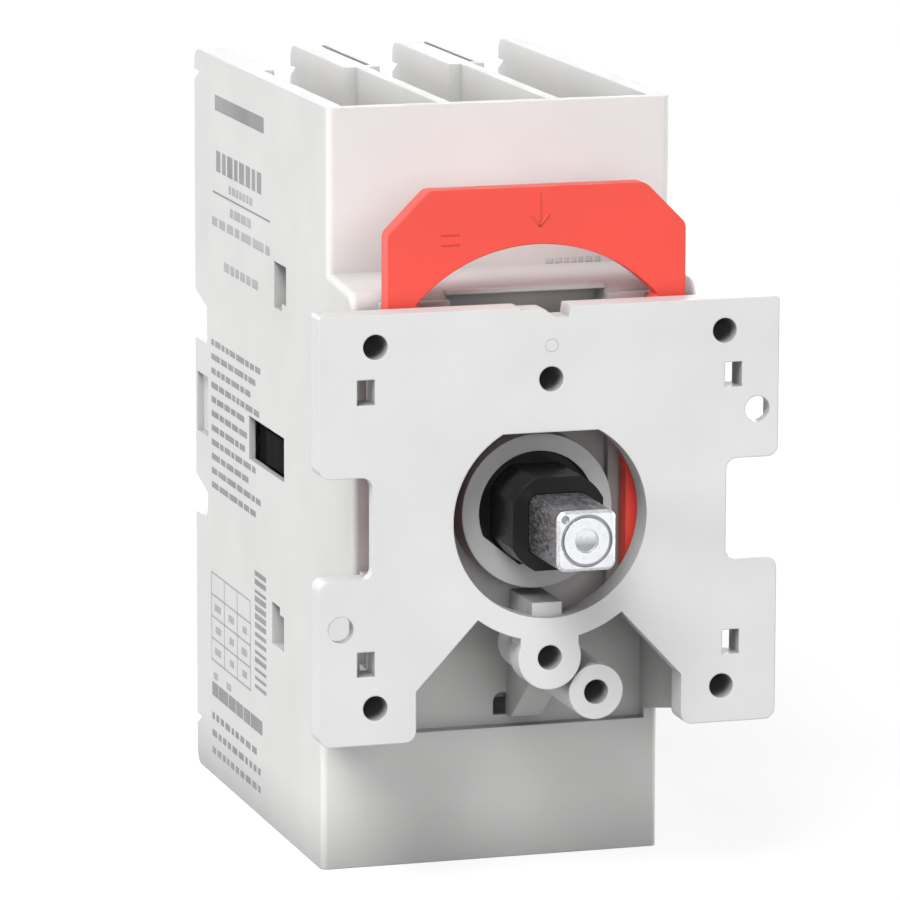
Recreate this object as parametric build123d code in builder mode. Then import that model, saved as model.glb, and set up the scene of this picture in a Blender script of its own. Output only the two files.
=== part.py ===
from build123d import *
import os

# Three-pole rotary switch disconnector, body with a square shaft for a handle
# on a cabinet door. Sizes are millimetres. X is to the right, Y runs from the
# door into the cabinet and Z is up. The origin is the centre of the door hole
# pattern on the plate's front face, which is also the axis of the shaft.

os.makedirs("parts", exist_ok=True)

# Running and seating clearances
fit = 0.06            # radial, shaft in its bearing
seat = 0.1            # flat face beside flat face in one body
gap = 0.3             # guide beside a moving piece
root = 0.5            # how far an added feature reaches into the wall that carries it
clear = 1.0           # how far a cut runs past the face it opens

# Housing
body_width = 36.0
body_top = 39.2
body_bottom = -39.2
body_rear = 69.0
nose_front = 8.3      # front face of the mechanism box
nose_wall = 2.0
top_front = 17.2      # front face of the upper terminal shroud
bottom_front = 19.4   # front face of the lower terminal shroud
shroud_wall = 1.5
side_wall = 1.9
shelf_rear_z = 22.6   # shelf above the mechanism box, sloping to the front
shelf_front_z = 21.8
shelf_round = 1.8
ledge_z = -24.5       # top edge of the lower shroud's front wall
nose_bottom_z = -22.0      # lower front corner of the box's side walls
hood_thickness = 0.4       # shelf left above the recess between the pads
hood_recess_z = 17.5
hood_recess_depth = 3.2
chamber_front = 28.0
chamber_half_height = 21.0
chamber_ceiling = 2.0
corner_round = 0.7
rear_round = 1.5
nose_side_wall = 3.8

# Poles
pole_count = 3
pole_margin = 1.71     # body width left over beside the poles
pole_offset = 0.3
partition_share = 0.335     # of the pole pitch, for the thick part of a partition
thin_partition = 1.3
thick_partition_front = 48.0
slot_front = 49.5
slot_width = 0.6
slot_depth = 3.0
slot_wall = 0.53       # partition left beside the slot

# Rear edge of the side walls
notch_depth = 4.8
notch_lead = 1.3
upper_notch = (7.8, 12.5)
lower_notch = (-11.3, -7.7)
nick_depth = 2.0
nick_height = 1.1
upper_nick_z = 36.4
lower_nick_z = -34.3

# Openings in the side walls
window_y = (33.4, 47.1)
window_z = (-1.6, 3.0)
upper_slot_y = (32.5, 37.1)
upper_slot_z = (16.1, 20.9)
lower_slot_y = (33.6, 38.2)
lower_slot_z = (-19.5, -15.1)
slot_step_y = 1.6
slot_step_z = 0.8
clip_slot_y = (64.0, 68.4)
clip_slot_z = (-2.3, 4.2)

# Front recess under the collar
recess_ceiling = -11.5
recess_back = 20.8
recess_wall = 1.5
drain_width = 1.9
drain_height = 2.3
drain_x = 1.6
drain_depth = 1.5

# Collar round the rotor
collar_front = 4.3
collar_outer = 7.8
lip_thickness = 0.8
lip_floor = -5.3
lip_left = (-5.6, -2.3)
lip_corner_x = -1.9

# Mechanism cavity
cavity_top = 16.0
cavity_bottom = -9.9
cavity_rear = 26.0

# Mounting plate
plate_overhang = 5.7   # how far the plate stands out beside the body
plate_top_margin = 3.2     # plate above the upper door screws
plate_bottom_margin = 3.7
plate_thickness = 3.0
plate_round = 1.1
plate_top_round = 0.4
edge_left = -3.2      # moulding gate cut into the plate's top edge
edge_right = 2.1
edge_drop = 0.25
dip_left = -0.7
dip_floor_left = 0.4
dip_floor_right = 1.8
dip_depth = 1.1
door_pattern = 36.0
handle_pattern = 28.0
screw_hole = 1.25
opening_radius = 10.0
opening_flat = 8.7
ring_radius = 12.3
notch_half_height = 5.1
leg_margin = 2.0       # plate inside the rails on its two legs
leg_shoulder_z = -16.6
ring_meets_x = 7.45
neck_half_width = 3.0
lug_radius = 3.25
clip_window_start = 0.05   # windows in which a cover can be clipped
clip_window_width = 1.8
clip_window_z = (12.3, 14.8)
pin_hole_inset = 2.2
pin_hole_z = 9.95
pin_hole = 1.3
key_half_width = 1.55
key_top_z = -8.6
key_front = 1.0
key_rear = 8.0
neck_notch = 0.5
boss_radius = 2.8
corner_boss_radius = 2.15
boss_floor = 1.0
rail_width = 1.6
rail_clearance = 0.4
rail_rear = 7.6
rail_lower_z = (5.8, 10.8)     # rails are left out beside the clip windows
rail_upper_z = (15.2, 20.1)
peg_inset = 0.3        # pegs on the rails, pressed into the housing
peg_length = 2.2
peg_z = (7.0, 10.5)
plate_skin = 1.2       # plate left over the reliefs behind it
notch_relief = 2.6
pin_relief_half = 1.7

# Lock slider
slider_front = 4.6
slider_thickness = 2.2
slider_boss_gap = 0.45
slider_top = 32.4
slider_chamfer = 4.2
slider_round = 1.2
arch_centre_z = 9.8
arch_radius = 16.9
arch_end_x = 12.5
leg_inner = 9.35
pad_inner = 8.25
leg_shoulder_drop = 3.4
leg_bottom = -8.5
leg_taper_height = 2.0
leg_taper_width = 2.8
pad_top = 21.0

# Housing screw boss beside the lower lug
side_boss_place = (4.95, -17.85)
side_boss_radius = 2.8
side_boss_front = 0.3
side_boss_hole_depth = 10.0
web_x = (2.1, 5.4)
web_top_z = -15.7

# Drive
rotor_radius = 6.0
rotor_face = 5.25
sleeve_across = 9.3
sleeve_radius = 5.2
sleeve_front = -2.4
shaft_square = 6.0
shaft_round = 0.9
shaft_chamfer = 0.3
shaft_tip = -11.4
shaft_rear = 11.0
tip_groove = 2.6
tip_groove_width = 0.3
tip_groove_depth = 0.35
tip_dimple = 1.2
punch_place = (-2.2, 2.2)
punch_radius = 0.4
flange_across = 15.0
flange_radius = 9.0
flange_thickness = 2.1
barrel_radius = 8.0
barrel_rear = 25.7
stem_radius = 5.0
stem_front = 13.6
stem_end_room = 0.6
pin_radius = 1.0
pin_y = 16.0
cam_travel = 5.0
cam_angle = 90
cam_steps = 12
cam_cutter = 1.26

# Detent spring round the rotor's flange
detent_wire = 0.8
detent_bend_x = -5.2
detent_leg_x = 11.5

# Bearing plate between the mechanism and the contact chamber
bearing_plate_thickness = 1.9

# Contact carriage
head_front = 34.0
head_rear = 38.0
head_half_height = 9.0
head_round = 1.0
arm_front = 33.9
arm_length = 13.0
arm_half_height = 4.0
arm_thickness = 1.9
arm_clearance = 0.4
arm_boss_length = 7.7
arm_boss_inset = 0.4   # boss face below the body's side
window_wall = 0.7      # side wall left beside the arm's pocket
window_clearance = 0.5
prong_thickness = 0.9
prong_half_height = 2.0
bridge_front = 42.6
bridge_thickness = 1.2
bridge_half_length = 10.9
bridge_round = 1.0
cross_bar = 2.0
spring_pocket_depth = 2.5
spring_pocket_wall = 0.4
spring_wire = 0.7
spring_turns = 4

# Contacts and terminals
tip_share = 0.815      # of the bar's width, for a contact tip's diameter
tip_thickness = 1.0
tip_z = 8.5
contact_opening = 5.2
bar_thickness = 1.5
bar_inner_z = 5.9
bar_end = 0.4
cage_wall = 0.7
cage_side_gap = 0.2
cage_front = 44.0
cage_rear = 57.0
cage_back_wall = 2.0
cage_front_wall = 1.2
cage_lift = 0.6
cage_height = 7.2
cage_round = 0.6
screw_radius = 1.75
screw_head_radius = 2.7
screw_head = (59.2, 62.0)
screw_slot_width = 0.8
screw_slot_depth = 1.3
screw_cross = 3.6

# Rear cover
cover_front = 63.0
cover_thickness = 2.5
cover_screw_inset = 2.7
cover_boss_radius = 2.2
cover_screw_radius = 1.1
cover_screw_length = 10.0
cover_head_radius = 1.9
cover_head_height = 1.4
cover_cross = 2.6
cover_cross_width = 0.6
cover_cross_depth = 0.8
cover_rib_width = 2.0
cover_rib_height = 1.0
cover_rib_short = 4.0
tongue_root = 1.0
ear_inset = 0.4
partition_front = 44.0
inner_partition = 1.2

# Sizes worked out from the ones above
half_width = body_width / 2
chamber_half_width = half_width - side_wall
cavity_half_width = half_width - nose_side_wall
pole_pitch = (body_width - pole_margin) / pole_count
pole_x = [pole_offset + pole_pitch * (pole - 1) for pole in range(pole_count)]
thick_partition = pole_pitch * partition_share
terminal_width = pole_pitch - thick_partition
slot_from_left = thick_partition - slot_width - slot_wall
partition_left = [x + terminal_width / 2 for x in pole_x[:-1]]
partition_x = [left + thick_partition / 2 for left in partition_left]
terminal_floor = chamber_half_height + chamber_ceiling
nose_rear = nose_front + nose_wall
boss_rear = nose_front
plate_width = body_width + 2 * plate_overhang
plate_top = door_pattern / 2 + plate_top_margin
plate_bottom = -door_pattern / 2 - plate_bottom_margin
notch_x = half_width + gap
clip_window_x = (half_width + clip_window_start, half_width + clip_window_start + clip_window_width)
pin_hole_place = (plate_width / 2 - pin_hole_inset, pin_hole_z)
slider_half_width = door_pattern / 2 - corner_boss_radius - slider_boss_gap
rail_x = (slider_half_width + rail_clearance, slider_half_width + rail_clearance + rail_width)
leg_inner_x = rail_x[0] - leg_margin
head_half_width = chamber_half_width - gap
arm_pocket_x = half_width - window_wall
arm_outer_x = arm_pocket_x - arm_clearance
arm_boss_x = half_width - arm_boss_inset
cage_outer = terminal_width - 2 * cage_side_gap
cage_inner = cage_outer - 2 * cage_wall
cage_z = (terminal_floor + cage_lift, terminal_floor + cage_lift + cage_height)
bar_width = cage_inner - 4 * seat
bar_outer_z = cage_z[1] + bar_end
bridge_width = bar_width
tip_radius = bar_width * tip_share / 2
prong_inner = bridge_width / 2 + gap
prong_outer = prong_inner + prong_thickness
spring_pocket_radius = prong_inner - spring_pocket_wall
spring_outer = spring_pocket_radius - gap
screw_z = (cage_z[0] + cage_z[1]) / 2
cover_screw_z = chamber_half_height - cover_screw_inset
cover_rib_half = cover_screw_z - cover_rib_short
bridge_rear = bridge_front + bridge_thickness
moving_tip_face = bridge_rear + tip_thickness
fixed_tip_face = moving_tip_face + contact_opening
bar_front = fixed_tip_face + tip_thickness
bar_rear = bar_front + bar_thickness
slider_rear = slider_front + slider_thickness
flange_front = nose_rear + seat
flange_rear = flange_front + flange_thickness
cover_rear = cover_front + cover_thickness


def at_depth(y):
    """Plane facing the door at depth y, with X to the right and Z up."""
    return Plane.XZ.offset(-y)


def block(x_range, y_range, z_range, mode=Mode.ADD):
    """Rectangular block between two limits on each axis."""
    middle = [(low + high) / 2 for low, high in (x_range, y_range, z_range)]
    size = [high - low for low, high in (x_range, y_range, z_range)]
    with Locations(tuple(middle)):
        Box(*size, mode=mode)


def both_sides(x_range):
    """The given stretch of an axis and its mirror image."""
    return [x_range, (-x_range[1], -x_range[0])]


def finish(builder, name):
    """Label a finished piece and write it."""
    builder.part.label = name
    export_step(builder.part, f"parts/{name}.step")


# Mounting plate
with BuildSketch() as opening_outline:
    Circle(opening_radius)
    with Locations((0, opening_flat + opening_radius / 2)):
        Rectangle(2 * opening_radius, opening_radius, mode=Mode.SUBTRACT)

with BuildSketch() as leg_gap_outline:
    with BuildLine():
        Polyline(
            (ring_meets_x, -(ring_radius**2 - ring_meets_x**2) ** 0.5),
            (leg_inner_x, leg_shoulder_z),
            (leg_inner_x, plate_bottom - clear),
            (-leg_inner_x, plate_bottom - clear),
            (-leg_inner_x, leg_shoulder_z),
            (-ring_meets_x, -(ring_radius**2 - ring_meets_x**2) ** 0.5),
            close=True,
        )
    make_face()
    Circle(ring_radius, mode=Mode.SUBTRACT)

with BuildPart() as mounting_plate:
    with BuildSketch(at_depth(plate_thickness)) as plate_outline:
        plate_height = plate_top - plate_bottom
        with Locations((0, (plate_top + plate_bottom) / 2)):
            Rectangle(plate_width, plate_height)
        for side in (-1, 1):
            with Locations((side * (notch_x + plate_width / 2) / 2, 0)):
                Rectangle(plate_width / 2 - notch_x, 2 * notch_half_height, mode=Mode.SUBTRACT)
        add(leg_gap_outline.sketch, mode=Mode.SUBTRACT)
        top_corners = plate_outline.vertices().group_by(Axis.Y)[-1]
        fillet(top_corners, plate_top_round)
        corners = plate_outline.vertices().filter_by(
            lambda v: abs(v.X) > notch_x - fit and v.Y < plate_top - plate_round
        )
        fillet(corners, plate_round)
        toes = plate_outline.vertices().filter_by(
            lambda v: abs(abs(v.X) - leg_inner_x) < fit and v.Y < leg_shoulder_z
        )
        fillet(toes, plate_round)
        with Locations((0, -(ring_radius + handle_pattern / 2) / 2)):
            Rectangle(2 * neck_half_width, ring_radius, mode=Mode.ADD)
        with Locations((0, -handle_pattern / 2 - ring_radius / 2)):
            Rectangle(2 * (neck_half_width + neck_notch), ring_radius, mode=Mode.SUBTRACT)
        with Locations((0, -handle_pattern / 2)):
            Circle(lug_radius)
        add(opening_outline.sketch, mode=Mode.SUBTRACT)
        with BuildLine():
            Polyline(
                (edge_left, plate_top + clear),
                (edge_left, plate_top - edge_drop),
                (dip_left, plate_top - edge_drop),
                (dip_floor_left, plate_top - dip_depth),
                (dip_floor_right, plate_top - dip_depth),
                (edge_right, plate_top + clear),
                close=True,
            )
        make_face(mode=Mode.SUBTRACT)
    extrude(amount=plate_thickness)
    # Bosses behind the screw holes
    with BuildSketch(at_depth(boss_rear)):
        with GridLocations(door_pattern, door_pattern, 2, 2):
            Circle(corner_boss_radius)
        with GridLocations(0, handle_pattern, 1, 2):
            Circle(boss_radius)
    extrude(amount=boss_rear - plate_thickness)
    # Rails beside the slider, and the key in the round opening
    for x_range in both_sides(rail_x):
        for z_range in both_sides(rail_lower_z) + both_sides(rail_upper_z):
            block(x_range, (plate_thickness, rail_rear), z_range)
    key_root = -opening_radius - root
    block((-key_half_width, key_half_width), (key_front, key_rear), (key_root, key_top_z))
    # Pegs that hold the plate on the housing
    peg_x = (rail_x[0] + peg_inset, rail_x[1] - peg_inset)
    for x_range in both_sides(peg_x):
        for z_range in both_sides(peg_z):
            block(x_range, (rail_rear, nose_front + peg_length), z_range)
    # Relief behind the edges of the side notches
    relief_x = (notch_x - notch_relief, notch_x + clear)
    relief_z = (-notch_half_height, notch_half_height)
    for x_range in both_sides(relief_x):
        block(x_range, (plate_skin, plate_thickness), relief_z, Mode.SUBTRACT)
    # Relief behind the locating holes
    with BuildSketch(at_depth(plate_thickness)):
        with Locations(pin_hole_place, (-pin_hole_place[0], -pin_hole_place[1])):
            Rectangle(2 * pin_relief_half, 2 * pin_relief_half)
    extrude(amount=plate_thickness - plate_skin, mode=Mode.SUBTRACT)
    # Clip windows, screw holes and the two locating holes
    for x_range in both_sides(clip_window_x):
        for z_range in both_sides(clip_window_z):
            block(x_range, (-clear, plate_thickness), z_range, Mode.SUBTRACT)
    with BuildSketch(at_depth(boss_rear - boss_floor)):
        with GridLocations(door_pattern, door_pattern, 2, 2):
            Circle(screw_hole)
        with GridLocations(0, handle_pattern, 1, 2):
            Circle(screw_hole)
    extrude(amount=boss_rear, mode=Mode.SUBTRACT)
    with BuildSketch(at_depth(plate_thickness)):
        with Locations(pin_hole_place, (-pin_hole_place[0], -pin_hole_place[1])):
            Circle(pin_hole)
    extrude(amount=plate_thickness, mode=Mode.SUBTRACT)
finish(mounting_plate, "mounting_plate")

# Lock slider
with BuildPart() as lock_slider:
    with BuildSketch(at_depth(slider_rear)) as slider_outline:
        slider_height = slider_top - leg_bottom
        with Locations((0, (slider_top + leg_bottom) / 2)):
            Rectangle(2 * slider_half_width, slider_height)
        top_corners = slider_outline.vertices().group_by(Axis.Y)[-1]
        chamfer(top_corners, slider_chamfer)
        upper = slider_outline.vertices().filter_by(lambda v: v.Y > slider_top - slider_chamfer - 0.1)
        fillet(upper, slider_round)
        arch_end_z = arch_centre_z + (arch_radius**2 - arch_end_x**2) ** 0.5
        arch_apex_z = arch_centre_z + arch_radius
        shoulder_z = arch_end_z - leg_shoulder_drop
        taper_z = leg_bottom + leg_taper_height
        with BuildLine():
            ThreePointArc((-arch_end_x, arch_end_z), (0, arch_apex_z), (arch_end_x, arch_end_z))
            Polyline(
                (arch_end_x, arch_end_z),
                (leg_inner, shoulder_z),
                (leg_inner, taper_z),
                (leg_inner + leg_taper_width, leg_bottom - clear),
                (-leg_inner - leg_taper_width, leg_bottom - clear),
                (-leg_inner, taper_z),
                (-leg_inner, shoulder_z),
                (-arch_end_x, arch_end_z),
            )
        make_face(mode=Mode.SUBTRACT)
    extrude(amount=slider_thickness)
finish(lock_slider, "lock_slider")

# Steel shaft
with BuildPart() as drive_shaft:
    with BuildSketch(at_depth(shaft_rear)):
        RectangleRounded(shaft_square, shaft_square, shaft_round)
    extrude(amount=shaft_rear - shaft_tip)
    chamfer(drive_shaft.faces().sort_by(Axis.Y)[0].edges(), shaft_chamfer)
    with BuildSketch(at_depth(shaft_tip + tip_groove_depth)):
        Circle(tip_groove)
        Circle(tip_groove - tip_groove_width, mode=Mode.SUBTRACT)
        Circle(tip_dimple)
        with Locations(punch_place):
            Circle(punch_radius)
    extrude(amount=tip_groove_depth, mode=Mode.SUBTRACT)
finish(drive_shaft, "drive_shaft")

# Rotor with the sleeve that holds the shaft and the barrel cam behind it
with BuildPart() as rotor:
    with BuildSketch(at_depth(flange_front)):
        Circle(rotor_radius)
    extrude(amount=flange_front - rotor_face)
    with BuildSketch(at_depth(rotor_face)):
        Rectangle(sleeve_across, sleeve_across)
        Circle(sleeve_radius, mode=Mode.INTERSECT)
    extrude(amount=rotor_face - sleeve_front)
    with BuildSketch(at_depth(flange_rear)):
        Rectangle(flange_across, flange_across)
        Circle(flange_radius, mode=Mode.INTERSECT)
    extrude(amount=flange_thickness)
    with BuildSketch(at_depth(barrel_rear)):
        Circle(barrel_radius)
    extrude(amount=barrel_rear - flange_rear)
    with BuildSketch(at_depth(barrel_rear)):
        Circle(stem_radius + fit)
    extrude(amount=barrel_rear - stem_front + stem_end_room, mode=Mode.SUBTRACT)
    with BuildSketch(at_depth(shaft_rear)):
        shaft_hole = shaft_square + 2 * fit
        RectangleRounded(shaft_hole, shaft_hole, shaft_round)
    extrude(amount=shaft_rear - sleeve_front, mode=Mode.SUBTRACT)
    # Helical slots in the barrel, milled through both walls step by step
    cutter_places = []
    for step in range(cam_steps + 1):
        share = step / cam_steps
        radial = Vector(1, 0, 0).rotate(Axis.Y, -cam_angle * share)
        cutter_y = pin_y + cam_travel * share
        cutter_places.append(Plane(origin=(0, cutter_y, 0), x_dir=(0, 1, 0), z_dir=radial))
    with Locations(*cutter_places):
        Cylinder(cam_cutter, 2 * (barrel_radius + clear), mode=Mode.SUBTRACT)
finish(rotor, "rotor")

# Detent spring, a wire hairpin over two flats of the rotor's flange
detent_y = (flange_front + flange_rear) / 2
detent_z = flange_across / 2 + detent_wire / 2 + seat
with BuildPart() as detent_spring:
    with BuildLine() as detent_path:
        Line((detent_leg_x, detent_y, detent_z), (detent_bend_x, detent_y, detent_z))
        ThreePointArc(
            (detent_bend_x, detent_y, detent_z),
            (detent_bend_x - detent_z, detent_y, 0),
            (detent_bend_x, detent_y, -detent_z),
        )
        Line((detent_bend_x, detent_y, -detent_z), (detent_leg_x, detent_y, -detent_z))
    with BuildSketch(Plane(origin=(detent_leg_x, detent_y, detent_z), z_dir=(-1, 0, 0))):
        Circle(detent_wire / 2)
    sweep()
finish(detent_spring, "detent_spring")

# Bearing plate that traps the rotor and guides the carriage's stem
with BuildPart() as bearing_plate:
    with BuildSketch(at_depth(chamber_front)):
        Rectangle(2 * (chamber_half_width - seat), 2 * (chamber_half_height - seat))
        Circle(stem_radius + fit, mode=Mode.SUBTRACT)
    extrude(amount=bearing_plate_thickness)
finish(bearing_plate, "bearing_plate")

# Contact carriage with its stem, side arms and a yoke for each bridge
with BuildPart() as contact_carriage:
    with BuildSketch(at_depth(head_rear)):
        RectangleRounded(2 * head_half_width, 2 * head_half_height, head_round)
    extrude(amount=head_rear - head_front)
    with BuildSketch(at_depth(head_front)):
        Circle(stem_radius)
    extrude(amount=head_front - stem_front)
    boss_y = (arm_front, arm_front + arm_boss_length)
    boss_z = (window_z[0] + window_clearance, window_z[1] - window_clearance)
    for x_range in both_sides((arm_outer_x - arm_thickness, arm_outer_x)):
        block(x_range, (arm_front, arm_front + arm_length), (-arm_half_height, arm_half_height))
    for x_range in both_sides((arm_outer_x, arm_boss_x)):
        block(x_range, boss_y, boss_z)
    yoke_rear = bridge_rear + cross_bar
    for x in pole_x:
        for prong in ((x - prong_outer, x - prong_inner), (x + prong_inner, x + prong_outer)):
            block(prong, (head_rear, yoke_rear), (-prong_half_height, prong_half_height))
        cross = (x - prong_outer, x + prong_outer)
        block(cross, (bridge_rear, yoke_rear), (-prong_half_height, prong_half_height))
    with BuildSketch(at_depth(head_rear)):
        with Locations(*[(x, 0) for x in pole_x]):
            Circle(spring_pocket_radius)
    extrude(amount=spring_pocket_depth, mode=Mode.SUBTRACT)
    with Locations(Plane(origin=(0, pin_y, 0), z_dir=(1, 0, 0))):
        Cylinder(pin_radius + fit, 2 * (stem_radius + clear), mode=Mode.SUBTRACT)
finish(contact_carriage, "contact_carriage")

# Drive pin through the stem, running in the barrel's slots
with BuildPart() as drive_pin:
    with Locations(Plane(origin=(0, pin_y, 0), z_dir=(1, 0, 0))):
        Cylinder(pin_radius, 2 * (barrel_radius - gap))
finish(drive_pin, "drive_pin")


def contact_bridge(x):
    """Copper bridge of one pole."""
    with BuildPart() as bridge:
        with BuildSketch(at_depth(bridge_rear)):
            with Locations((x, 0)):
                RectangleRounded(bridge_width, 2 * bridge_half_length, bridge_round)
        extrude(amount=bridge_thickness)
    return bridge


def contact_spring(x):
    """Coil spring that presses one bridge to the rear."""
    start_y = head_rear - spring_pocket_depth + spring_wire / 2 + seat
    end_y = bridge_front - spring_wire / 2 - seat
    coil_radius = spring_outer - spring_wire / 2
    with BuildPart() as spring:
        with BuildLine() as coil:
            Helix(
                pitch=(end_y - start_y) / spring_turns,
                height=end_y - start_y,
                radius=coil_radius,
                center=(x, start_y, 0),
                direction=(0, 1, 0),
            )
        with BuildSketch(Plane(origin=coil.line @ 0, z_dir=coil.line % 0)):
            Circle(spring_wire / 2)
        sweep(is_frenet=True)
    return spring


def terminal_bar(x, side):
    """Fixed copper bar of one pole, from its contact to its terminal."""
    with BuildPart() as bar:
        with BuildSketch(at_depth(bar_rear)):
            with Locations((x, side * (bar_inner_z + bar_outer_z) / 2)):
                Rectangle(bar_width, bar_outer_z - bar_inner_z)
        extrude(amount=bar_thickness)
    return bar


def clamp_cage(x, side):
    """Steel cage that pulls the wire against the bar."""
    with BuildPart() as cage:
        start = cage_z[0] if side > 0 else -cage_z[1]
        with BuildSketch(Plane.XY.offset(start)):
            with Locations((x, (cage_front + cage_rear) / 2)):
                RectangleRounded(cage_outer, cage_rear - cage_front, cage_round)
            inner_rear = cage_rear - cage_back_wall
            inner_front = cage_front + cage_front_wall
            with Locations((x, (inner_front + inner_rear) / 2)):
                Rectangle(cage_inner, inner_rear - inner_front, mode=Mode.SUBTRACT)
        extrude(amount=cage_z[1] - cage_z[0])
        with Locations(Plane(origin=(x, cage_rear, side * screw_z), z_dir=(0, 1, 0))):
            Cylinder(screw_radius + fit, 3 * cage_back_wall, mode=Mode.SUBTRACT)
    return cage


for pole, x in enumerate(pole_x, start=1):
    finish(contact_bridge(x), f"contact_bridge_{pole}")
    finish(contact_spring(x), f"contact_spring_{pole}")
    finish(terminal_bar(x, 1), f"line_terminal_bar_{pole}")
    finish(terminal_bar(x, -1), f"load_terminal_bar_{pole}")
    finish(clamp_cage(x, 1), f"line_clamp_cage_{pole}")
    finish(clamp_cage(x, -1), f"load_clamp_cage_{pole}")

# Silver contact tips, one pair on each bridge and one on each fixed bar
tip_places = [(x, side * tip_z) for x in pole_x for side in (1, -1)]
with BuildPart() as moving_contact_tips:
    with BuildSketch(at_depth(moving_tip_face)):
        with Locations(*tip_places):
            Circle(tip_radius)
    extrude(amount=tip_thickness)
finish(moving_contact_tips, "moving_contact_tips")

with BuildPart() as fixed_contact_tips:
    with BuildSketch(at_depth(bar_front)):
        with Locations(*tip_places):
            Circle(tip_radius)
    extrude(amount=tip_thickness)
finish(fixed_contact_tips, "fixed_contact_tips")

# Terminal screws, with their slotted heads to the rear
with BuildPart() as terminal_screws:
    screw_places = [(x, side * screw_z) for x in pole_x for side in (1, -1)]
    with BuildSketch(at_depth(screw_head[0])):
        with Locations(*screw_places):
            Circle(screw_radius)
    extrude(amount=screw_head[0] - bar_rear - seat)
    with BuildSketch(at_depth(screw_head[1])):
        with Locations(*screw_places):
            Circle(screw_head_radius)
    extrude(amount=screw_head[1] - screw_head[0])
    with BuildSketch(at_depth(screw_head[1])):
        with Locations(*screw_places):
            Rectangle(2 * (screw_head_radius + clear), screw_slot_width)
            Rectangle(screw_slot_width, screw_cross)
    extrude(amount=screw_slot_depth, mode=Mode.SUBTRACT)
finish(terminal_screws, "terminal_screws")

# Rear cover with the tongues that close the slots behind the terminal bars
cover_screw_places = [(x, side * cover_screw_z) for x in partition_x for side in (1, -1)]
with BuildPart() as rear_cover:
    with BuildSketch(at_depth(cover_rear)):
        Rectangle(2 * (chamber_half_width - seat), 2 * (chamber_half_height - seat))
    extrude(amount=cover_thickness)
    for x in pole_x:
        for z_range in both_sides((chamber_half_height - tongue_root, terminal_floor)):
            block((x - bar_width / 2, x + bar_width / 2), (bar_rear + seat, cover_rear), z_range)
    for x in pole_x:
        rib_x = (x - cover_rib_width / 2, x + cover_rib_width / 2)
        block(rib_x, (cover_rear, cover_rear + cover_rib_height), (-cover_rib_half, cover_rib_half))
    for x_range in both_sides((chamber_half_width - tongue_root, arm_pocket_x - seat)):
        block(x_range, (cover_front, body_rear - ear_inset), (-arm_half_height, arm_half_height))
    with BuildSketch(at_depth(cover_rear)):
        with Locations(*cover_screw_places):
            Circle(cover_screw_radius + seat)
    extrude(amount=cover_thickness, mode=Mode.SUBTRACT)
    with BuildSketch(at_depth(cover_rear)):
        with Locations(*cover_screw_places):
            Circle(cover_head_radius + seat)
    extrude(amount=cover_head_height, mode=Mode.SUBTRACT)
finish(rear_cover, "rear_cover")

with BuildPart() as cover_screws:
    head_seat = cover_rear - cover_head_height
    with BuildSketch(at_depth(head_seat)):
        with Locations(*cover_screw_places):
            Circle(cover_screw_radius)
    extrude(amount=cover_screw_length)
    with BuildSketch(at_depth(cover_rear)):
        with Locations(*cover_screw_places):
            Circle(cover_head_radius)
    extrude(amount=cover_head_height)
    with BuildSketch(at_depth(cover_rear)):
        with Locations(*cover_screw_places):
            Rectangle(cover_cross, cover_cross_width)
            Rectangle(cover_cross_width, cover_cross)
    extrude(amount=cover_cross_depth, mode=Mode.SUBTRACT)
finish(cover_screws, "cover_screws")

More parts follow.
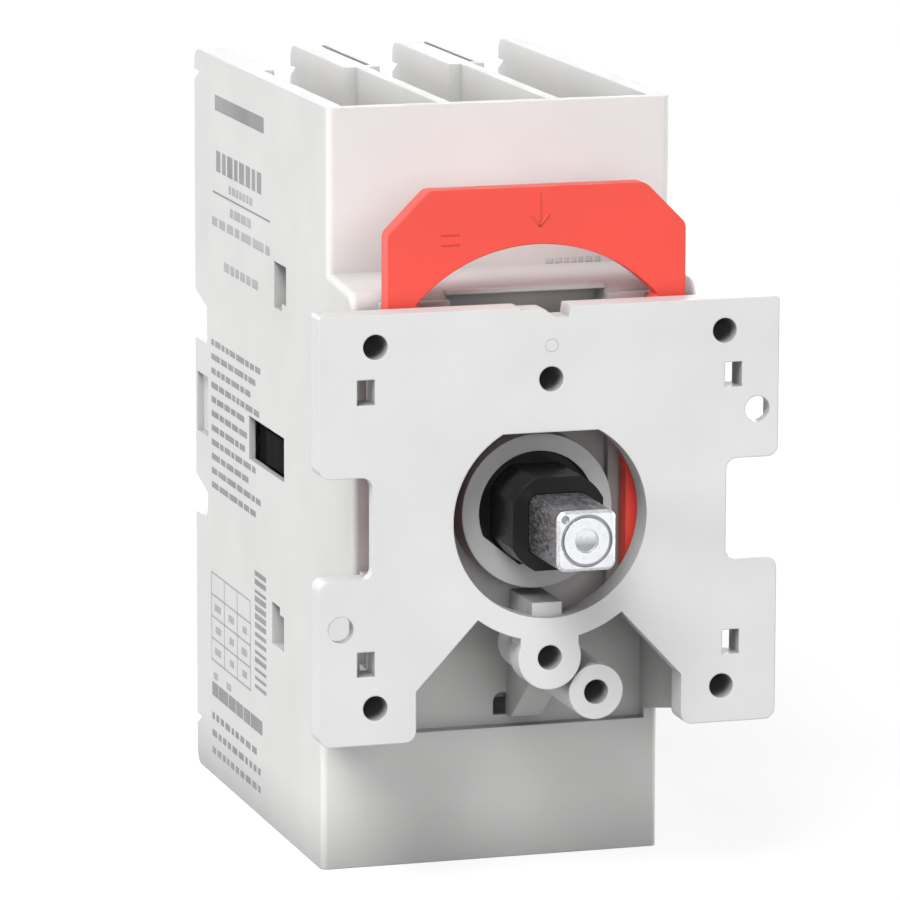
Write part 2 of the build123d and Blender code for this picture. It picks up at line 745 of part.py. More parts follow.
# Housing, one moulding from the mechanism box to the rear edge
with BuildPart() as housing:
    with BuildSketch(Plane.YZ.offset(-half_width)) as side_profile:
        with BuildLine():
            Polyline(
                (nose_front, nose_bottom_z),
                (nose_front, shelf_front_z),
                (top_front, shelf_rear_z),
                (top_front, body_top),
                (body_rear, body_top),
                (body_rear, upper_nick_z + nick_height / 2),
                (body_rear - nick_depth, upper_nick_z + nick_height / 2),
                (body_rear, upper_nick_z - nick_height / 2),
                (body_rear, upper_notch[1] + notch_lead / 2),
                (body_rear - notch_depth, upper_notch[1] - notch_lead / 2),
                (body_rear - notch_depth, upper_notch[0]),
                (body_rear, upper_notch[0]),
                (body_rear, lower_notch[1] + notch_lead / 2),
                (body_rear - notch_depth, lower_notch[1] - notch_lead / 2),
                (body_rear - notch_depth, lower_notch[0]),
                (body_rear, lower_notch[0]),
                (body_rear, lower_nick_z + nick_height / 2),
                (body_rear - nick_depth, lower_nick_z + nick_height / 2),
                (body_rear, lower_nick_z - nick_height / 2),
                (body_rear, body_bottom),
                (bottom_front, body_bottom),
                (bottom_front, ledge_z),
                close=True,
            )
        make_face()
        shelf_edge = side_profile.vertices().sort_by_distance((nose_front, shelf_front_z))[0]
        fillet(shelf_edge, shelf_round)
        rear_corners = side_profile.vertices().filter_by(
            lambda v: v.X > body_rear - fit and abs(v.Y) > body_top - fit
        )
        fillet(rear_corners, rear_round)
    extrude(amount=body_width)
    long_edges = housing.edges().filter_by(Axis.Z).filter_by(
        lambda e: e.center().Y < bottom_front + seat and e.length > shelf_round
    )
    fillet(long_edges, corner_round)

    # Terminal compartments, three above and three below, open to the rear
    for index, x in enumerate(pole_x):
        left = x - terminal_width / 2
        right = x + terminal_width / 2
        front_left = left - (thick_partition - thin_partition) / 2
        front_right = right + (thick_partition - thin_partition) / 2
        if index == 0:
            front_left = -chamber_half_width
        if index == pole_count - 1:
            front_right = chamber_half_width
            right = chamber_half_width
        for z_range, front in (
            ((terminal_floor, body_top + clear), top_front),
            ((body_bottom - clear, -terminal_floor), recess_back),
        ):
            inner_front = front + shroud_wall
            block((left, right), (inner_front, body_rear + clear), z_range, Mode.SUBTRACT)
            wide = (inner_front, thick_partition_front)
            block((front_left, front_right), wide, z_range, Mode.SUBTRACT)
    # Narrow slots in the thick rear part of the partitions
    for left in partition_left:
        slot_x = (left + slot_from_left, left + slot_from_left + slot_width)
        for z_range in both_sides((body_top - slot_depth, body_top + clear)):
            block(slot_x, (slot_front, body_rear + clear), z_range, Mode.SUBTRACT)

    # Contact chamber with a wall between the poles
    chamber_x = (-chamber_half_width, chamber_half_width)
    chamber_z = (-chamber_half_height, chamber_half_height)
    plate_seat = chamber_front - bearing_plate_thickness
    block(chamber_x, (plate_seat, body_rear + clear), chamber_z, Mode.SUBTRACT)
    for x in partition_x:
        wall_x = (x - inner_partition / 2, x + inner_partition / 2)
        block(wall_x, (chamber_front, cover_front), chamber_z)
    head_room = (-head_half_height - clear, head_half_height + clear)
    block(chamber_x, (chamber_front, partition_front), head_room, Mode.SUBTRACT)
    for x_range in both_sides((chamber_half_width - root, arm_pocket_x)):
        arm_room = (-arm_half_height - gap, arm_half_height + gap)
        block(x_range, (arm_front - gap, body_rear + clear), arm_room, Mode.SUBTRACT)
    with BuildSketch(at_depth(cover_front)):
        with Locations(*cover_screw_places):
            Circle(cover_boss_radius)
    extrude(amount=cover_front - partition_front)
    with BuildSketch(at_depth(cover_front)):
        with Locations(*cover_screw_places):
            Circle(cover_screw_radius + fit)
    extrude(amount=cover_screw_length, mode=Mode.SUBTRACT)
    # Slots that let the terminal bars pass, closed later by the cover's tongues
    for x in pole_x:
        slot_half = bar_width / 2 + seat
        for z_range in both_sides((chamber_half_height - clear, terminal_floor + seat)):
            slot_y = (bar_front - seat, body_rear + clear)
            block((x - slot_half, x + slot_half), slot_y, z_range, Mode.SUBTRACT)

    # Mechanism cavity behind the nose
    cavity_x = (-cavity_half_width, cavity_half_width)
    block(cavity_x, (nose_rear, cavity_rear + clear), (cavity_bottom, cavity_top), Mode.SUBTRACT)

    # Open recess below the collar
    recess_x = (-half_width + recess_wall, half_width - recess_wall)
    block(recess_x, (nose_front - clear, recess_back), (ledge_z - clear, recess_ceiling), Mode.SUBTRACT)
    with BuildSketch(at_depth(recess_back + drain_depth)):
        drain_square = drain_height - drain_width / 2
        with Locations((drain_x, ledge_z + drain_square / 2)):
            Rectangle(drain_width, drain_square)
        with Locations((drain_x, ledge_z + drain_square)):
            Circle(drain_width / 2)
    extrude(amount=drain_depth, mode=Mode.SUBTRACT)
    with BuildSketch(Plane.YZ.offset(web_x[0])):
        with BuildLine():
            Polyline(
                (nose_front, web_top_z),
                (nose_front, recess_ceiling),
                (recess_back + root, recess_ceiling),
                (recess_back + root, ledge_z),
                (bottom_front, ledge_z),
                close=True,
            )
        make_face()
    extrude(amount=web_x[1] - web_x[0])
    with BuildSketch(at_depth(recess_back + root)):
        with Locations(side_boss_place):
            Circle(side_boss_radius)
    extrude(amount=recess_back + root - side_boss_front)
    with BuildSketch(at_depth(side_boss_front + side_boss_hole_depth)):
        with Locations(side_boss_place):
            Circle(screw_hole)
    extrude(amount=side_boss_hole_depth, mode=Mode.SUBTRACT)

    # Pads that back the slider, and the collar round the rotor
    pad_front = slider_rear + gap
    for x_range in both_sides((pad_inner, slider_half_width)):
        block(x_range, (pad_front, nose_front), (recess_ceiling, pad_top))
    # Recess between the pads, under a thin hood
    hood_x = (-pad_inner, pad_inner)
    hood_floor = shelf_front_z - hood_thickness
    hood_y = (nose_front - clear, nose_front + hood_recess_depth)
    block(hood_x, (nose_front, nose_front + shelf_round), (hood_floor, shelf_front_z))
    block(hood_x, hood_y, (hood_recess_z, hood_floor), Mode.SUBTRACT)
    with BuildSketch(at_depth(nose_rear)):
        Circle(collar_outer)
    extrude(amount=nose_rear - collar_front)
    with BuildSketch(at_depth(nose_rear)):
        Circle(rotor_radius + fit)
    extrude(amount=nose_rear - collar_front, mode=Mode.SUBTRACT)
    # Lip that covers the lower left of the bore
    with BuildSketch(at_depth(collar_front + lip_thickness)):
        Circle(rotor_radius + root)
        with BuildLine():
            Polyline(
                lip_left,
                (lip_corner_x, lip_floor),
                (2 * rotor_radius, lip_floor),
                (2 * rotor_radius, 2 * rotor_radius),
                (-2 * rotor_radius, 2 * rotor_radius),
                (-2 * rotor_radius, lip_left[1]),
                close=True,
            )
        make_face(mode=Mode.SUBTRACT)
    extrude(amount=lip_thickness)

    # Window for the carriage's boss and slots for add-on blocks, both sides
    wall_ranges = both_sides((chamber_half_width - root, half_width + clear))
    for x_range in wall_ranges:
        block(x_range, window_y, window_z, Mode.SUBTRACT)
        block(x_range, (upper_slot_y[0] + slot_step_y, upper_slot_y[1]), upper_slot_z, Mode.SUBTRACT)
        block(x_range, upper_slot_y, (upper_slot_z[0] + slot_step_z, upper_slot_z[1]), Mode.SUBTRACT)
        block(x_range, lower_slot_y, (lower_slot_z[0], lower_slot_z[1] - slot_step_z), Mode.SUBTRACT)
        block(x_range, (lower_slot_y[0] + slot_step_y, lower_slot_y[1]), lower_slot_z, Mode.SUBTRACT)
        block(x_range, clip_slot_y, clip_slot_z, Mode.SUBTRACT)
    # Sockets for the mounting plate's pegs
    socket_y = (nose_front - clear, nose_front + peg_length + seat)
    socket_x = (peg_x[0] - seat, peg_x[1] + seat)
    socket_z = (peg_z[0] - seat, peg_z[1] + seat)
    for x_range in both_sides(socket_x):
        for z_range in both_sides(socket_z):
            block(x_range, socket_y, z_range, Mode.SUBTRACT)
finish(housing, "housing")
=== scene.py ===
import math
import random

import bmesh
import bpy
from mathutils import Matrix, Vector


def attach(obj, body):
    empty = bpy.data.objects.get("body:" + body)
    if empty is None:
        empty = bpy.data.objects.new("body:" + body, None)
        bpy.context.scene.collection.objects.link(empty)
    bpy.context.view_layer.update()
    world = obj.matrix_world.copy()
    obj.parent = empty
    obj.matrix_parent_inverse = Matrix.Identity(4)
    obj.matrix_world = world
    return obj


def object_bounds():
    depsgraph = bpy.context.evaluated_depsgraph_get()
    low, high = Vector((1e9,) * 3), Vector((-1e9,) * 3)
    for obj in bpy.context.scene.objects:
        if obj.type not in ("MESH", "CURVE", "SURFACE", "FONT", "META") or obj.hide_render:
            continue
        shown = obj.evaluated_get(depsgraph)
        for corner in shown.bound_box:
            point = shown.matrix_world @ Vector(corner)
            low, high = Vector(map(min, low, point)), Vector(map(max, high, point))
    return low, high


# Looks of the switch disconnector: materials for every CAD node, fine relief
# and print that the solids leave out, a white studio, lamps and the camera.
# Lengths are in millimetres in the row frame where they are multiplied by MM,
# and in metres in the studio. Noise scales are in cycles per metre.

MM = 0.001

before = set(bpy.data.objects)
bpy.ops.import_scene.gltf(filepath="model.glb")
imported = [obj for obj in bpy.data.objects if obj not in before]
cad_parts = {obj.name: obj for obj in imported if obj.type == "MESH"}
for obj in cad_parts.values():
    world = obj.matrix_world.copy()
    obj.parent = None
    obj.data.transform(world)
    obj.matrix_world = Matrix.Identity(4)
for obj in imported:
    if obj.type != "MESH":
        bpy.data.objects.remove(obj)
cad_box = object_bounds()


# Materials

CLOUD_SCALE = 90          # slow change of tone in a moulding
GLOSS_SCALE = 260         # patches of more and less gloss
GRAIN_SCALE = 5200        # spark-eroded grain of the mould
GRAIN_HEIGHT = 0.04
GLOSS_RANGE = 0.06
PAINTED_SHADE_REACH = 7          # how far a cavity's walls reach in the painted shade of its plastic
MOTTLE_SCALE = 700        # plating
SCRATCH_SCALE = 3200
SCRATCH_HEIGHT = 0.03
SPECKLE_SCALE = 4200      # dull sides of the shaft


def new_material(name):
    """Node material with a Principled shader wired to its output."""
    material = bpy.data.materials.new(name)
    material.use_nodes = True
    nodes = material.node_tree.nodes
    nodes.clear()
    output = nodes.new("ShaderNodeOutputMaterial")
    shader = nodes.new("ShaderNodeBsdfPrincipled")
    material.node_tree.links.new(shader.outputs["BSDF"], output.inputs["Surface"])
    return material, nodes, material.node_tree.links, shader


def noise(nodes, links, scale, detail=3, stretch=(1, 1, 1)):
    """Noise in the object's own coordinates."""
    place = nodes.new("ShaderNodeTexCoord")
    mapping = nodes.new("ShaderNodeMapping")
    mapping.inputs["Scale"].default_value = stretch
    texture = nodes.new("ShaderNodeTexNoise")
    texture.inputs["Scale"].default_value = scale
    texture.inputs["Detail"].default_value = detail
    links.new(place.outputs["Object"], mapping.inputs["Vector"])
    links.new(mapping.outputs["Vector"], texture.inputs["Vector"])
    return texture.outputs["Fac"]


def mapped(nodes, links, source, source_range, result_range):
    """The source's range mapped to the result's, and held at its ends."""
    spread = nodes.new("ShaderNodeMapRange")
    spread.inputs["From Min"].default_value = source_range[0]
    spread.inputs["From Max"].default_value = source_range[1]
    spread.inputs["To Min"].default_value = result_range[0]
    spread.inputs["To Max"].default_value = result_range[1]
    links.new(source, spread.inputs["Value"])
    return spread.outputs["Result"]


def ranged(nodes, links, noise_socket, low, high):
    """Noise, most of which lies in its middle range, run from low to high."""
    return mapped(nodes, links, noise_socket, (0.3, 0.7), (low, high))


def mixed(nodes, links, factor, first, second):
    """Colour that runs from the first to the second with the factor."""
    mix = nodes.new("ShaderNodeMix")
    mix.data_type = "RGBA"
    links.new(factor, mix.inputs["Factor"])
    for colour, name in ((first, "A"), (second, "B")):
        if isinstance(colour, bpy.types.NodeSocket):
            links.new(colour, mix.inputs[name])
        else:
            mix.inputs[name].default_value = (*colour, 1)
    return mix.outputs["Result"]


def mottled(nodes, links, colour, variation, scale):
    """The colour, cloudy by a share of itself."""
    dark = [c * (1 - variation) for c in colour]
    light = [min(1.0, c * (1 + variation)) for c in colour]
    clouds = noise(nodes, links, scale, 4)
    return mixed(nodes, links, ranged(nodes, links, clouds, 0, 1), dark, light)


def relief(nodes, links, shader, height, strength, depth, edge_radius):
    """Bump on the shader's normals, which are rounded over the object's edges."""
    bevel = nodes.new("ShaderNodeBevel")
    bevel.samples = 4
    bevel.inputs["Radius"].default_value = edge_radius * MM
    bump = nodes.new("ShaderNodeBump")
    bump.inputs["Strength"].default_value = strength
    bump.inputs["Distance"].default_value = depth * MM
    links.new(height, bump.inputs["Height"])
    links.new(bevel.outputs["Normal"], bump.inputs["Normal"])
    links.new(bump.outputs["Normal"], shader.inputs["Normal"])


def painted_cavity_shade(nodes, links, colour_socket, least):
    """Painted shade: colour that falls to a share of itself where the surface lies deep in
    a cavity.
    """
    cavity = nodes.new("ShaderNodeAmbientOcclusion")
    cavity.samples = 8
    cavity.inputs["Distance"].default_value = PAINTED_SHADE_REACH * MM
    scaled = nodes.new("ShaderNodeVectorMath")
    scaled.operation = "SCALE"
    share = mapped(nodes, links, cavity.outputs["AO"], (0, 1), (least, 1))
    links.new(colour_socket, scaled.inputs[0])
    links.new(share, scaled.inputs["Scale"])
    return scaled.outputs["Vector"]


def plastic(
    name, colour, roughness,
    grain=0.12, variation=0.035, edge_radius=0.18, specular=0.5, painted_shade_share=None,
):
    """Moulded plastic: cloudy tone, spark-eroded grain, slightly rounded edges and, where
    a share is given for it, painted shade in its cavities.
    """
    material, nodes, links, shader = new_material(name)
    tone = mottled(nodes, links, colour, variation, CLOUD_SCALE)
    # Painted shade: the tone darkens deep in cavities
    if painted_shade_share:
        tone = painted_cavity_shade(nodes, links, tone, painted_shade_share)
    links.new(tone, shader.inputs["Base Color"])
    patches = noise(nodes, links, GLOSS_SCALE, 5)
    rough = ranged(nodes, links, patches, roughness - GLOSS_RANGE, roughness + GLOSS_RANGE)
    links.new(rough, shader.inputs["Roughness"])
    skin = noise(nodes, links, GRAIN_SCALE, 2)
    relief(nodes, links, shader, skin, grain, GRAIN_HEIGHT, edge_radius)
    shader.inputs["IOR"].default_value = 1.5
    shader.inputs["Specular IOR Level"].default_value = specular
    return material


def metal(
    name, colour, roughness, stretch=(1, 1, 1),
    scratch=0.15, variation=0.06, edge_radius=0.08,
):
    """Worked metal: drawn scratches, mottled plating and small deburred edges."""
    material, nodes, links, shader = new_material(name)
    tone = mottled(nodes, links, colour, variation, MOTTLE_SCALE)
    links.new(tone, shader.inputs["Base Color"])
    drawn = noise(nodes, links, SCRATCH_SCALE, 3, stretch)
    rough = ranged(nodes, links, drawn, roughness * 0.75, roughness * 1.3)
    links.new(rough, shader.inputs["Roughness"])
    relief(nodes, links, shader, drawn, scratch, SCRATCH_HEIGHT, edge_radius)
    shader.inputs["Metallic"].default_value = 1.0
    return material


def calculated(nodes, links, operation, first, second=None):
    """Math node's result; an operand is a socket or a number."""
    node = nodes.new("ShaderNodeMath")
    node.operation = operation
    for operand, socket in zip((first, second), node.inputs):
        if isinstance(operand, (int, float)):
            socket.default_value = operand
        elif operand is not None:
            links.new(operand, socket)
    return node.outputs[0]


# Shaft end: painted shade in the turned ring groove, the dimple and the punch mark
GROOVE_RADIUS = 2.45
GROOVE_FADE = (0.22, 0.12)      # from no painted shade to full painted shade, off the groove's middle
DIMPLE_FADE = (1.25, 1.05)
DIMPLE_SHADE = (0.5, -0.5)      # heights between which the dimple's painted shade comes in, darkest on its lower half
PUNCH_PLACE = (-2.2, 2.2)
PUNCH_FADE = (0.46, 0.34)
END_FACING = (-0.6, -0.9)       # Y of the normal, from the sides to the end face
# Colour and share of the painted shade in the pits of the end face
PIT_SHADE_COLOUR = (0.10, 0.10, 0.11)
PIT_SHADE_SHARE = 0.65
DULL_DARK = (0.27, 0.27, 0.285)
DULL_LIGHT = (0.56, 0.57, 0.59)


def with_bright_end_and_painted_pit_shade(material):
    """Steel with dull sides, and painted shade in the pits of its bright end face, on the
    dimple towards its lower half.
    """
    nodes = material.node_tree.nodes
    links = material.node_tree.links
    shader = next(node for node in nodes if node.type == "BSDF_PRINCIPLED")
    bright = shader.inputs["Base Color"].links[0].from_socket
    place = nodes.new("ShaderNodeTexCoord")
    across = nodes.new("ShaderNodeVectorMath")
    across.operation = "MULTIPLY"
    across.inputs[1].default_value = (1, 0, 1)
    links.new(place.outputs["Object"], across.inputs[0])

    def parts_of(vector_socket):
        node = nodes.new("ShaderNodeSeparateXYZ")
        links.new(vector_socket, node.inputs[0])
        return node.outputs

    def distance_from(x, z):
        node = nodes.new("ShaderNodeVectorMath")
        node.operation = "DISTANCE"
        node.inputs[1].default_value = (x * MM, 0, z * MM)
        links.new(across.outputs["Vector"], node.inputs[0])
        return node.outputs["Value"]

    def fade(source, fade_range, unit=MM):
        return mapped(nodes, links, source, [end * unit for end in fade_range], (0, 1))

    radius = distance_from(0, 0)
    off_groove = calculated(nodes, links, "SUBTRACT", radius, GROOVE_RADIUS * MM)
    groove = fade(calculated(nodes, links, "ABSOLUTE", off_groove), GROOVE_FADE)
    shaded = fade(parts_of(place.outputs["Object"])["Z"], DIMPLE_SHADE)
    dimple = calculated(nodes, links, "MULTIPLY", fade(radius, DIMPLE_FADE), shaded)
    punch = fade(distance_from(*PUNCH_PLACE), PUNCH_FADE)
    pits = calculated(nodes, links, "MAXIMUM", groove, dimple)
    pits = calculated(nodes, links, "MAXIMUM", pits, punch)
    # Painted shade in the groove, the dimple's lower half and the punch mark
    painted_pit_shade = calculated(nodes, links, "MULTIPLY", pits, PIT_SHADE_SHARE)
    end_tone = mixed(nodes, links, painted_pit_shade, bright, PIT_SHADE_COLOUR)

    speckle = ranged(nodes, links, noise(nodes, links, SPECKLE_SCALE, 4), 0, 1)
    side_tone = mixed(nodes, links, speckle, DULL_DARK, DULL_LIGHT)
    end_face = fade(parts_of(place.outputs["Normal"])["Y"], END_FACING, unit=1)
    tone = mixed(nodes, links, end_face, side_tone, end_tone)
    links.new(tone, shader.inputs["Base Color"])
    return material


drawn_along_x, drawn_along_z = (0.1, 1, 1), (1, 1, 0.12)   # stretch of the scratches
copper = (0.90, 0.50, 0.36)
materials = {
    # The housing and the plate carry painted shade in their cavities
    "housing": plastic(
        "housing_plastic", (0.775, 0.772, 0.765), 0.52, specular=0.22, painted_shade_share=0.3,
    ),
    "plate": plastic(
        "plate_plastic", (0.778, 0.778, 0.775), 0.46, specular=0.3, painted_shade_share=0.3,
    ),
    "cover": plastic("cover_plastic", (0.70, 0.70, 0.69), 0.50),
    "inner": plastic("inner_plastic", (0.10, 0.10, 0.105), 0.50),
    "slider": plastic("slider_plastic", (0.88, 0.075, 0.052), 0.40, grain=0.10),
    "rotor": plastic(
        "rotor_plastic", (0.010, 0.010, 0.011), 0.26,
        grain=0.05, variation=0.2, specular=0.15,
    ),
    "carriage": plastic(
        "carriage_plastic", (0.009, 0.009, 0.010), 0.50,
        grain=0.08, variation=0.2, specular=0.004,
    ),
    "shaft": with_bright_end_and_painted_pit_shade(
        metal("shaft_steel", (0.68, 0.69, 0.71), 0.36, (1, 0.4, 1), scratch=0.10)
    ),
    "pin": metal("pin_steel", (0.62, 0.62, 0.63), 0.22, drawn_along_x),
    "spring": metal("spring_steel", (0.50, 0.50, 0.51), 0.26),
    "screw": metal("screw_steel", (0.72, 0.73, 0.72), 0.30),
    "clamp": metal("clamp_steel", (0.68, 0.69, 0.69), 0.36, (1, 1, 0.2)),
    "bar": metal("bar_copper", copper, 0.32, drawn_along_z),
    "bridge": metal("bridge_copper", copper, 0.32, drawn_along_z),
    "silver": metal("contact_silver", (0.90, 0.89, 0.86), 0.30),
}

node_materials = {
    "housing": "housing",
    "mounting_plate": "plate",
    "rear_cover": "cover",
    "bearing_plate": "inner",
    "lock_slider": "slider",
    "rotor": "rotor",
    "contact_carriage": "carriage",
    "drive_shaft": "shaft",
    "drive_pin": "pin",
    "detent_spring": "spring",
    "terminal_screws": "screw",
    "cover_screws": "screw",
    "moving_contact_tips": "silver",
    "fixed_contact_tips": "silver",
}
for pole in (1, 2, 3):
    node_materials[f"contact_spring_{pole}"] = "spring"
    node_materials[f"contact_bridge_{pole}"] = "bridge"
    for side in ("line", "load"):
        node_materials[f"{side}_terminal_bar_{pole}"] = "bar"
        node_materials[f"{side}_clamp_cage_{pole}"] = "clamp"

for node_name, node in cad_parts.items():
    chosen = materials[node_materials[node_name]]
    if not node.material_slots:
        node.data.materials.append(chosen)
    for material_slot in node.material_slots:
        material_slot.material = chosen


# Fine relief and print

SIDE_FACE_X = -18.0
PLATE_FACE_Y = 0.0
SLIDER_FACE_Y = 4.6
SHROUD_FACE_Y = 17.2
MARK_DEPTH = (-0.05, 0.03)      # from inside the wall to proud of it
SIGN_DEPTH = (-0.05, 0.06)
INK_DEPTH = (-0.03, 0.02)


def mesh_piece(name, bm, material, body):
    """Object made from a bmesh, with its material, riding on a body."""
    bmesh.ops.recalc_face_normals(bm, faces=bm.faces)
    mesh = bpy.data.meshes.new(name)
    bm.to_mesh(mesh)
    bm.free()
    piece = bpy.data.objects.new(name, mesh)
    bpy.context.scene.collection.objects.link(piece)
    mesh.materials.append(material)
    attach(piece, body)
    return piece


def prism(bm, outline, to_space, depth):
    """Closed prism: the outline's points at two depths, joined by walls."""
    lower = [bm.verts.new(to_space(a, b, depth[0])) for a, b in outline]
    upper = [bm.verts.new(to_space(a, b, depth[1])) for a, b in outline]
    bm.faces.new(lower)
    bm.faces.new(list(reversed(upper)))
    for k in range(len(outline)):
        n = (k + 1) % len(outline)
        bm.faces.new((lower[k], upper[k], upper[n], lower[n]))


def on_front(face_y):
    """Places (x, z, how proud it stands) on a face that looks to the door."""
    def place(x, z, proud):
        return Vector((x, face_y - proud, z)) * MM
    return place


def on_side(face_x):
    """Places (y, z, how proud it stands) on the left side."""
    def place(y, z, proud):
        return Vector((face_x - proud, y, z)) * MM
    return place


def ring(bm, to_space, centre, outer, inner, depth, steps):
    """Closed flat ring round a centre, with a chamfered outer and inner edge."""
    chamfer = min(0.06, (outer - inner) / 4)
    section = [
        (outer, depth[0]),
        (outer, depth[1] - chamfer),
        (outer - chamfer, depth[1]),
        (inner + chamfer, depth[1]),
        (inner, depth[1] - chamfer),
        (inner, depth[0]),
    ]
    loops = []
    for k in range(steps):
        angle = 2 * math.pi * k / steps
        loops.append([
            bm.verts.new(to_space(
                centre[0] + radius * math.cos(angle),
                centre[1] + radius * math.sin(angle),
                proud,
            ))
            for radius, proud in section
        ])
    for k in range(steps):
        here, there = loops[k], loops[(k + 1) % steps]
        for j in range(len(section)):
            i = (j + 1) % len(section)
            bm.faces.new((here[j], here[i], there[i], there[j]))


def stroke(bm, to_space, start, end, width, depth):
    """Straight raised bar with square ends between two points."""
    direction = (Vector(end) - Vector(start)).normalized()
    across = Vector((-direction.y, direction.x)) * (width / 2)
    a, b = Vector(start), Vector(end)
    outline = [tuple(p) for p in (a + across, a - across, b - across, b + across)]
    prism(bm, outline, to_space, depth)


# Small moulded mark above the upper handle hole
bm = bmesh.new()
ring(bm, on_front(PLATE_FACE_Y), (0.0, 17.4), 0.72, 0.56, MARK_DEPTH, steps=28)
mesh_piece("plate_mould_mark", bm, materials["plate"], "base")

# Direction arrow and equals sign moulded on the lock slider, in a darker red that is
# painted shade of their relief
slider_face = on_front(SLIDER_FACE_Y)
arrow_tip = (0.2, 28.5)
arrow_strokes = [
    ((0.2, 31.9), (0.2, 28.9)),
    (arrow_tip, (-0.75, 29.65)),
    (arrow_tip, (1.15, 29.65)),
]
equals_strokes = [((-10.0, z), (-8.1, z)) for z in (28.05, 27.05)]
bm = bmesh.new()
for start, end in arrow_strokes:
    stroke(bm, slider_face, start, end, 0.24, SIGN_DEPTH)
for start, end in equals_strokes:
    stroke(bm, slider_face, start, end, 0.26, SIGN_DEPTH)
# The signs' darker red is painted shade
sign_plastic_with_painted_shade = plastic("slider_sign_painted_shade_plastic", (0.80, 0.075, 0.052), 0.44)
mesh_piece("slider_signs", bm, sign_plastic_with_painted_shade, "lock_slider")

# Generic print on the left side: rules, rows of short bars and an empty grid
ink = plastic("print_ink", (0.30, 0.30, 0.315), 0.55, grain=0.2, variation=0.18)
faint_ink = plastic(
    "faint_print_ink", (0.46, 0.46, 0.475), 0.55, grain=0.2, variation=0.12,
)
side_face = on_side(SIDE_FACE_X)
rng = random.Random(7)


def bar(bm, to_space, a_range, b_range):
    """Printed bar between two places along the face and two heights."""
    outline = [
        (a_range[0], b_range[0]),
        (a_range[1], b_range[0]),
        (a_range[1], b_range[1]),
        (a_range[0], b_range[1]),
    ]
    prism(bm, outline, to_space, INK_DEPTH)


def bar_row(bm, y_range, z_middle, height, lengths, space):
    """Row of short bars of uneven length on the side, as a line of small print."""
    y = y_range[1]
    while y - lengths[0] > y_range[0]:
        length = min(rng.uniform(*lengths), y - y_range[0])
        z_range = (z_middle - height / 2, z_middle + height / 2)
        bar(bm, side_face, (y - length, y), z_range)
        y -= length + space


WINDOW_ROWS = (4, 5, 6)         # rows that end at the carriage's side window
WINDOW_END_Y = 48.0

bm = bmesh.new()
bar(bm, side_face, (41.0, 60.5), (33.6, 35.2))
bar_row(bm, (42.0, 60.0), 28.2, 2.2, (1.2, 2.6), 0.7)
bar(bm, side_face, (38.6, 61.5), (24.66, 24.84))
for row in range(11):
    near_y = WINDOW_END_Y if row in WINDOW_ROWS else 42.6 + 2 * (row % 3)
    bar_row(bm, (near_y, 62.4), 8.4 - 1.55 * row, 0.62, (1.0, 3.6), 0.5)
bar_row(bm, (41.2, 62.6), -29.6, 1.5, (2.4, 5.2), 0.3)
for row in range(3):
    bar_row(bm, (43.0, 62.6), -32.6 - 1.9 * row, 0.7, (0.8, 2.0), 0.7)
for row in range(14):
    z = -13.6 - 0.93 * row
    bar(bm, side_face, (40.6, 45.0), (z, z + rng.uniform(0.3, 0.62)))
mesh_piece("side_print", bm, ink, "base")

GRID_Y = 46.8
GRID_Z = -26.5
GRID_COLUMNS, COLUMN_PITCH = 3, 5.3
GRID_ROWS, ROW_PITCH = 4, 2.4
GRID_LINE = 0.16

bm = bmesh.new()
bar_row(bm, (45.5, 55.0), 25.8, 0.8, (0.9, 1.6), 0.4)
bar_row(bm, (45.5, 54.5), 23.4, 0.9, (1.2, 2.6), 0.4)
bar_row(bm, (38.8, 61.8), 21.6, 0.9, (1.4, 4.2), 0.8)
bar_row(bm, (43.4, 57.0), 17.3, 0.9, (1.2, 3.0), 0.6)
for column in range(GRID_COLUMNS + 1):
    y = GRID_Y + COLUMN_PITCH * column
    bar(bm, side_face, (y, y + GRID_LINE), (GRID_Z, GRID_Z + ROW_PITCH * GRID_ROWS))
grid_end_y = GRID_Y + COLUMN_PITCH * GRID_COLUMNS + GRID_LINE
for row in range(GRID_ROWS + 1):
    z = GRID_Z + ROW_PITCH * row
    bar(bm, side_face, (GRID_Y, grid_end_y), (z, z + GRID_LINE))
for row in range(GRID_ROWS - 1):
    for column in range(GRID_COLUMNS):
        y = GRID_Y + 1.5 + COLUMN_PITCH * column
        z = GRID_Z + 0.9 + ROW_PITCH * row
        bar(bm, side_face, (y, y + rng.uniform(1.6, 2.6)), (z, z + 0.7))
for y_range in ((54.8, 56.6), (60.4, 62.0)):
    bar(bm, side_face, y_range, (-28.4, -27.7))
mesh_piece("side_print_fine", bm, faint_ink, "base")

# Short printed row at the foot of the upper shroud, seen through the slider's arch
bm = bmesh.new()
x, row_end_x = 4.9, 10.6
while x < row_end_x:
    length = rng.uniform(0.35, 0.8)
    bar(bm, on_front(SHROUD_FACE_Y), (x, x + length), (22.66, 23.2))
    x += length + 0.28
mesh_piece("shroud_print", bm, faint_ink, "base")


# Studio: white floor and world, soft lamps

FLOOR_REACH = 3.0
FLOOR_GAP = 0.00002
FLOOR_TONES = [(0.27, 0.27, 0.27), (0.29, 0.29, 0.29)]
FLOOR_TONE_SCALE = 8
FLOOR_GLOW = 0.80               # brings the lit floor to white where it is seen
WORLD_LIGHT = 0.08
WHITE = (1, 1, 1, 1)


def background_rays(nodes, links):
    """1 where the camera, a gloss ray or a transmission ray sees the background."""
    path = nodes.new("ShaderNodeLightPath")
    rays = path.outputs["Is Camera Ray"]
    for kind in ("Is Glossy Ray", "Is Transmission Ray"):
        rays = calculated(nodes, links, "MAXIMUM", rays, path.outputs[kind])
    return rays


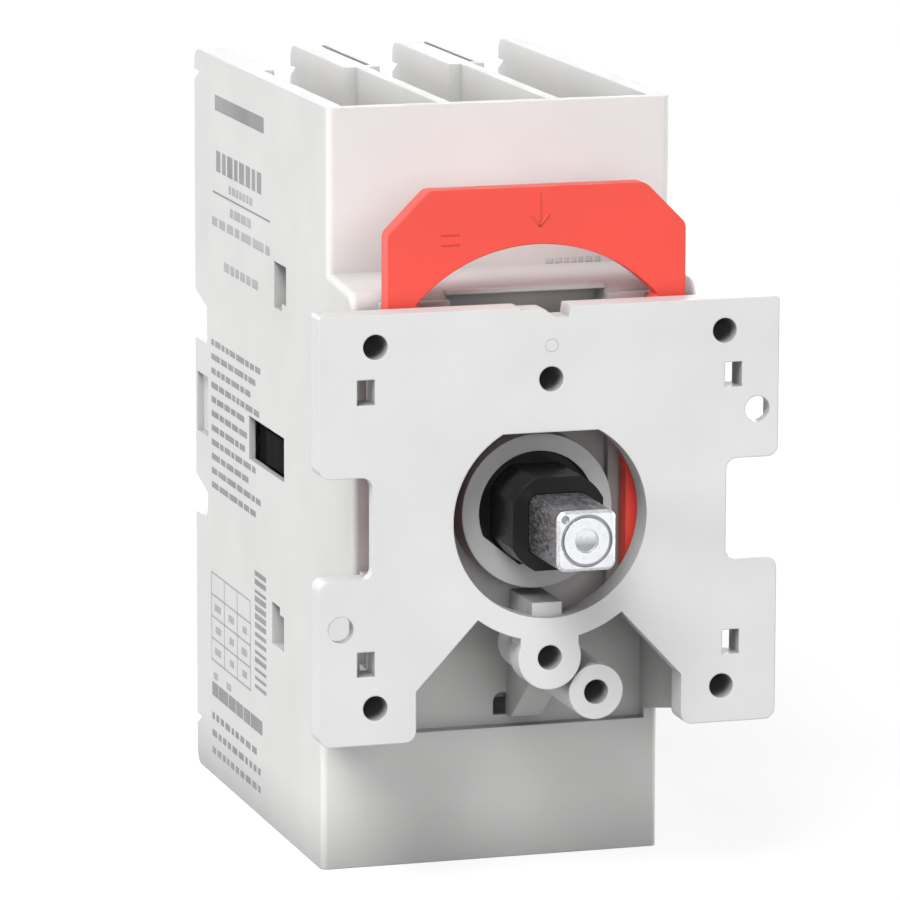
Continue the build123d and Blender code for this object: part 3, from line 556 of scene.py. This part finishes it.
floor_z = cad_box[0][2] - FLOOR_GAP
corners = [(-1, -1), (1, -1), (1, 1), (-1, 1)]
floor_mesh = bpy.data.meshes.new("studio_floor")
floor_mesh.from_pydata(
    [(x * FLOOR_REACH, y * FLOOR_REACH, floor_z) for x, y in corners],
    [],
    [(0, 1, 2, 3)],
)
studio_floor = bpy.data.objects.new("studio_floor", floor_mesh)
bpy.context.scene.collection.objects.link(studio_floor)
floor_material = bpy.data.materials.new("studio_floor_paint")
floor_material.use_nodes = True
nodes = floor_material.node_tree.nodes
links = floor_material.node_tree.links
nodes.clear()
output = nodes.new("ShaderNodeOutputMaterial")
diffuse = nodes.new("ShaderNodeBsdfDiffuse")
glow = nodes.new("ShaderNodeEmission")
both = nodes.new("ShaderNodeAddShader")
glow.inputs["Color"].default_value = WHITE
floor_noise = noise(nodes, links, FLOOR_TONE_SCALE, 2)
floor_tone = mixed(nodes, links, ranged(nodes, links, floor_noise, 0, 1), *FLOOR_TONES)
glow_strength = calculated(
    nodes, links, "MULTIPLY", background_rays(nodes, links), FLOOR_GLOW,
)
links.new(floor_tone, diffuse.inputs["Color"])
links.new(glow_strength, glow.inputs["Strength"])
links.new(diffuse.outputs["BSDF"], both.inputs[0])
links.new(glow.outputs["Emission"], both.inputs[1])
links.new(both.outputs["Shader"], output.inputs["Surface"])
floor_mesh.materials.append(floor_material)

world = bpy.data.worlds.new("studio_world")
bpy.context.scene.world = world
world.use_nodes = True
nodes = world.node_tree.nodes
links = world.node_tree.links
nodes.clear()
output = nodes.new("ShaderNodeOutputWorld")
choice = nodes.new("ShaderNodeMixShader")
links.new(background_rays(nodes, links), choice.inputs["Fac"])
for socket, strength in ((choice.inputs[1], WORLD_LIGHT), (choice.inputs[2], 1.0)):
    background = nodes.new("ShaderNodeBackground")
    background.inputs["Color"].default_value = WHITE
    background.inputs["Strength"].default_value = strength
    links.new(background.outputs["Background"], socket)
links.new(choice.outputs["Shader"], output.inputs["Surface"])

# Lamps look at the object's front part: name, place, width and height, watts
LAMP_AIM = Vector((0, 0.02, 0))
lamps = [
    ("lamp_key", (-0.594, -0.740, 1.149), (0.8, 0.8), 21.2),
    ("lamp_left", (-1.181, 0.271, 0.324), (0.7, 0.7), 4.4),
    ("lamp_low_left", (-1.137, -0.584, 0.181), (0.5, 0.4), 3.0),
    ("lamp_front", (-0.094, -1.326, 0.238), (0.8, 0.5), 5.0),
    ("lamp_right", (1.390, 0.166, 0.073), (0.7, 0.18), 12.5),
    ("lamp_back", (0.291, 1.388, 0.073), (0.7, 0.18), 12.0),
]
for name, place, size, watts in lamps:
    light = bpy.data.lights.new(name, "AREA")
    light.shape = "RECTANGLE"
    light.size, light.size_y = size
    light.energy = watts
    lamp = bpy.data.objects.new(name, light)
    lamp.location = place
    lamp.rotation_euler = (LAMP_AIM - Vector(place)).to_track_quat("-Z", "Y").to_euler()
    bpy.context.scene.collection.objects.link(lamp)


# Camera at the photograph's place, as it was fitted to the photograph

CAMERA_PLACE = Vector((-184.7456, -569.2610, 119.6393)) * MM
CAMERA_RIGHT = Vector((0.956300, -0.292376, 0.002605))
CAMERA_DOWN = Vector((-0.051692, -0.177829, -0.982703))
CAMERA_FORWARD = Vector((0.287782, 0.939624, -0.185171))
SENSOR_WIDTH = 36.0
FOCAL_LENGTH = 247.64

camera_data = bpy.data.cameras.new("camera")
camera_data.sensor_width = SENSOR_WIDTH
camera_data.lens = FOCAL_LENGTH
camera_data.clip_start = 0.01
camera_data.clip_end = 20.0
camera = bpy.data.objects.new("camera", camera_data)
turn = Matrix((CAMERA_RIGHT, -CAMERA_DOWN, -CAMERA_FORWARD)).transposed().to_4x4()
camera.matrix_world = Matrix.Translation(CAMERA_PLACE) @ turn
bpy.context.scene.collection.objects.link(camera)
bpy.context.scene.camera = camera
bpy.context.scene.view_settings.view_transform = "Standard"
